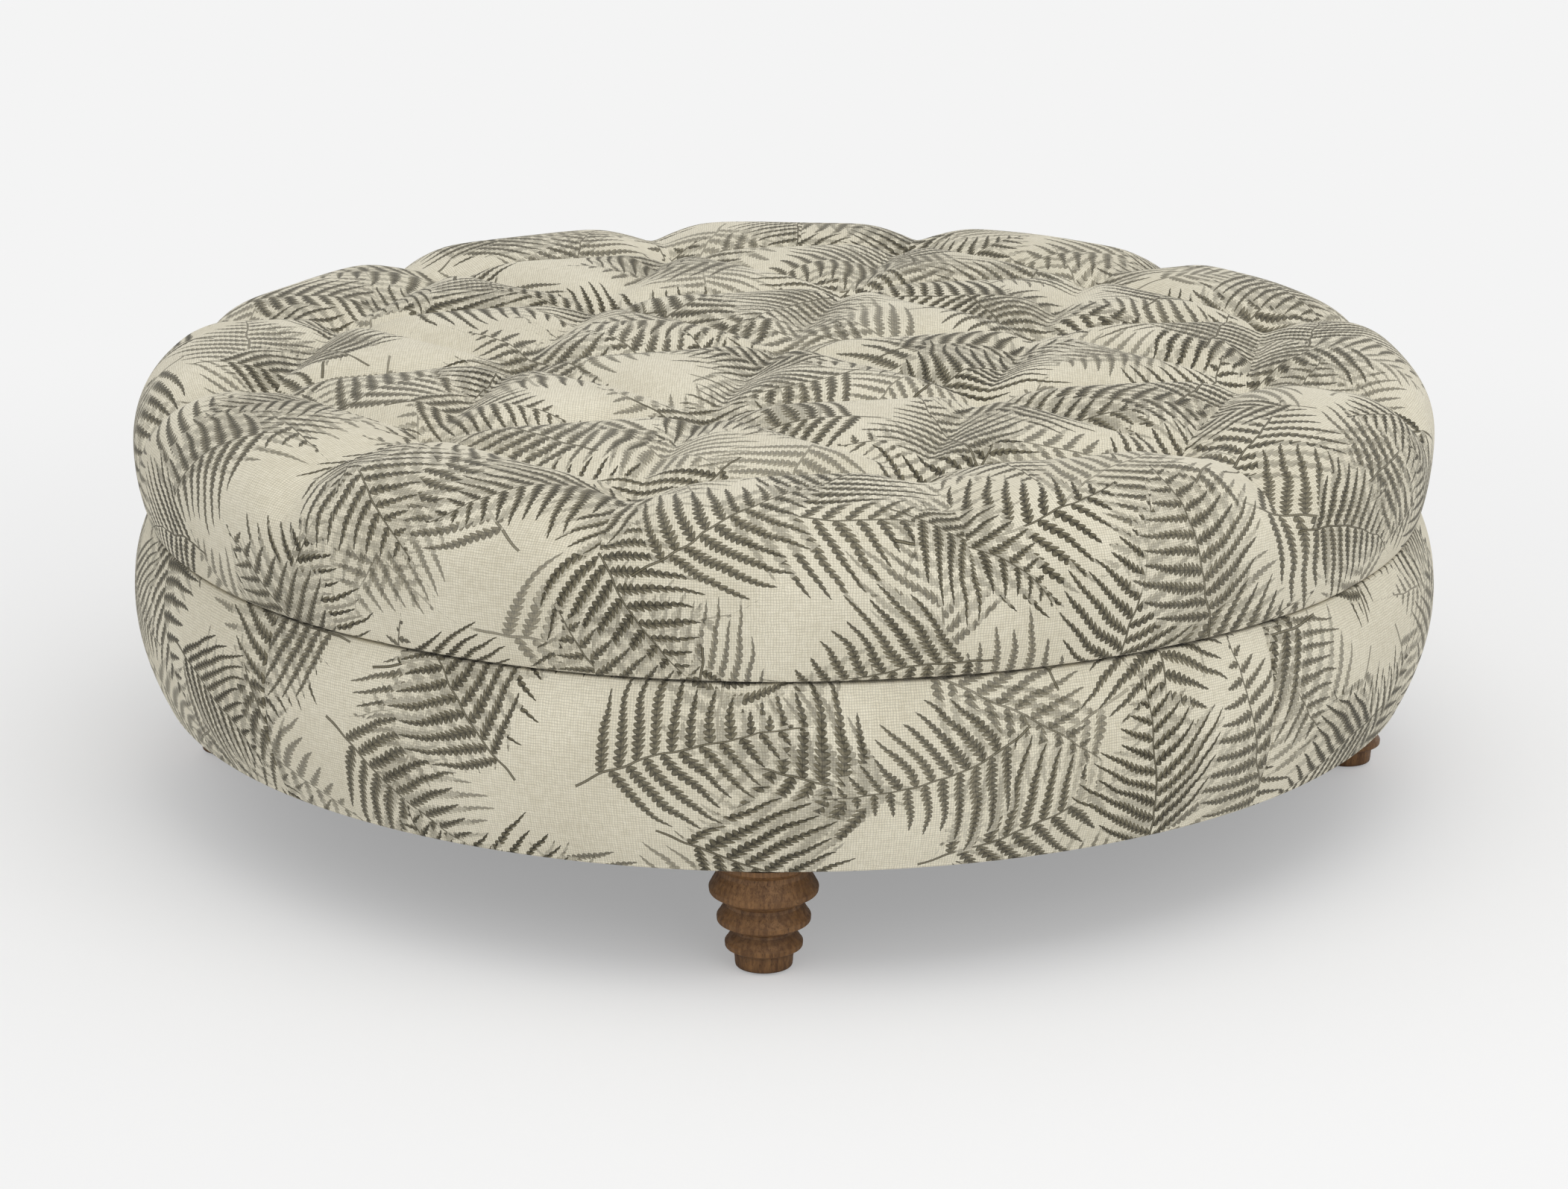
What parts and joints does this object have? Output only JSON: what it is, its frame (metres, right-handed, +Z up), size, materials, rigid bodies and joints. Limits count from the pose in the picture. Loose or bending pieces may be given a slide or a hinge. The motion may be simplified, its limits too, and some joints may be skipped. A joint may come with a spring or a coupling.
{
  "type": "round tufted footstool",
  "caption": "Large round upholstered footstool: a deep-tufted cushion top over a padded drum, in fern-print linen, standing on turned wooden feet.",
  "frame": {"origin": "on the floor, at the stool's upright centre line, level with the undersides of the foot glides", "axes": "+Z up along the centre line, -Y towards the front foot, +X towards the right foot"},
  "size_m": [1.224, 1.224, 0.4208],
  "materials": {
    "printed_linen": "matte",
    "stained_wood": "satin",
    "plywood": "matte",
    "sawn_timber": "matte",
    "hardboard": "matte",
    "card": "matte",
    "foam": "matte",
    "batting": "matte",
    "twine": "matte",
    "dust_cloth": "matte",
    "steel": "satin",
    "glide_plastic": "satin"
  },
  "bodies": {
    "root": {"band_cover": "printed_linen", "band_foam": "foam", "base_ring": "plywood", "deck_board": "plywood", "deck_screws": "steel", "dust_cover": "dust_cloth", "dust_cover_staples": "steel", "foot_back": "stained_wood", "foot_bolts": "steel", "foot_front": "stained_wood", "foot_glide_back": "glide_plastic", "foot_glide_front": "glide_plastic", "foot_glide_left": "glide_plastic", "foot_glide_right": "glide_plastic", "foot_left": "stained_wood", "foot_nuts": "steel", "foot_right": "stained_wood", "leg_block_back": "sawn_timber", "leg_block_front": "sawn_timber", "leg_block_left": "sawn_timber", "leg_block_right": "sawn_timber", "pad_batting": "batting", "pad_cover": "printed_linen", "pad_foam": "foam", "post_1": "sawn_timber", "post_2": "sawn_timber", "post_3": "sawn_timber", "post_4": "sawn_timber", "post_5": "sawn_timber", "post_6": "sawn_timber", "post_7": "sawn_timber", "post_8": "sawn_timber", "rail_lower": "sawn_timber", "rail_screws": "steel", "rail_upper": "sawn_timber", "ring_screws": "steel", "side_hoop": "hardboard", "tack_strip": "card", "tuft_twines": "twine", "tuft_washers": "steel"}
  },
  "joints": []
}
